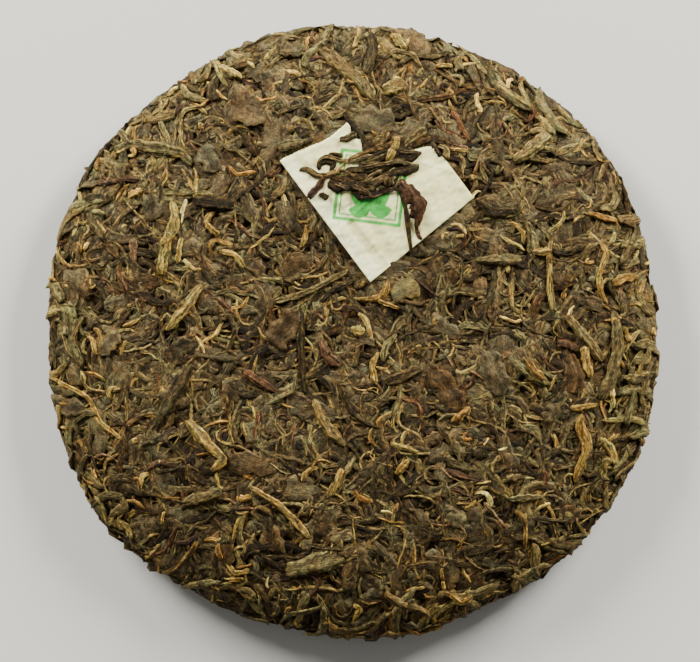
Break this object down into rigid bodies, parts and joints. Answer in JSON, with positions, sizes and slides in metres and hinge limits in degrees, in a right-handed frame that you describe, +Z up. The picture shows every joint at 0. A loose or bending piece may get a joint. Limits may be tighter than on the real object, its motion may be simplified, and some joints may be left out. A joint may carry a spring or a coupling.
{
  "type": "pu erh tea cake",
  "caption": "Round pressed tea cake of twisted leaves with a domed face, a thin rim, a dimple under it and a square paper ticket pressed into the face.",
  "frame": {"origin": "middle of the footprint, on the board that the cake lies on", "axes": "+Z up through the domed face, +Y towards the side of the face that carries the ticket, +X to the right of it"},
  "size_m": [0.2018, 0.203, 0.0264],
  "materials": {
    "tea_leaf": "matte",
    "ticket_paper": "matte"
  },
  "bodies": {
    "root": {"tea_cake": "tea_leaf", "paper_ticket": "ticket_paper"}
  },
  "joints": []
}
